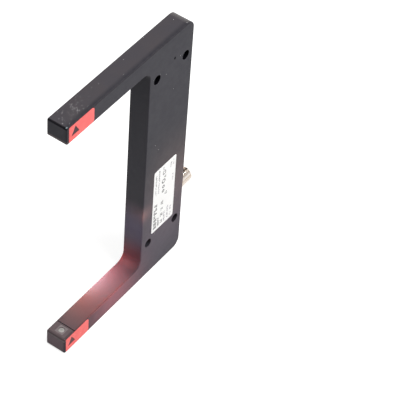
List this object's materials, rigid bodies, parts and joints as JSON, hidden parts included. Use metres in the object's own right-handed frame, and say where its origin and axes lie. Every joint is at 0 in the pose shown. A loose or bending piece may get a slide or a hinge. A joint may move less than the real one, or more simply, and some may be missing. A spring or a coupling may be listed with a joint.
{
  "type": "fork sensor",
  "caption": "C-shaped fork light barrier in a flat cast housing, with a lens at each arm's tip, through holes in the spine and a round threaded plug.",
  "frame": {"origin": "centre of the rectangle of four mounting holes, at the middle of the housing's thickness", "axes": "arms point to -X, the broad face with the label looks to -Y, +Z runs along the spine from the lower arm to the upper arm"},
  "size_m": [0.094, 0.0101, 0.138],
  "materials": {
    "board": "satin",
    "capacitor_can": "satin",
    "capacitor_ceramic": "satin",
    "chip_plastic": "satin",
    "choke_ferrite": "matte",
    "cover": "satin",
    "emitter_resin": "gloss",
    "guide_plastic": "gloss",
    "holder_plastic": "matte",
    "housing": "satin",
    "insulator_plastic": "matte",
    "label_foil": "satin",
    "lens": "gloss",
    "light_resin": "gloss",
    "pin_gold": "polished",
    "plug_metal": "polished",
    "resistor_ceramic": "satin",
    "ribbon_film": "satin",
    "screw_steel": "satin",
    "seal_rubber": "matte",
    "socket_plastic": "matte",
    "sticker_foil": "satin",
    "window_plastic": "satin"
  },
  "bodies": {
    "root": {"board_screws": "screw_steel", "chip_capacitors": "capacitor_ceramic", "chip_resistors": "resistor_ceramic", "choke": "choke_ferrite", "connector_insulator": "insulator_plastic", "connector_seal": "seal_rubber", "connector_sleeve": "plug_metal", "contact_pin_1": "pin_gold", "contact_pin_2": "pin_gold", "contact_pin_3": "pin_gold", "cover": "cover", "cover_seal": "seal_rubber", "emitter": "emitter_resin", "emitter_board": "board", "emitter_holder": "holder_plastic", "housing": "housing", "label": "label_foil", "light_guide": "guide_plastic", "lower_arrow_sticker": "sticker_foil", "lower_lens": "lens", "lower_ribbon": "ribbon_film", "lower_socket": "socket_plastic", "lower_window": "window_plastic", "main_board": "board", "output_transistors": "chip_plastic", "receiver": "chip_plastic", "receiver_board": "board", "receiver_holder": "holder_plastic", "signal_chip": "chip_plastic", "status_light": "light_resin", "storage_capacitor": "capacitor_can", "surge_diode": "chip_plastic", "terminal_board": "board", "upper_arrow_sticker": "sticker_foil", "upper_lens": "lens", "upper_ribbon": "ribbon_film", "upper_socket": "socket_plastic", "upper_window": "window_plastic", "voltage_regulator": "chip_plastic"}
  },
  "joints": []
}
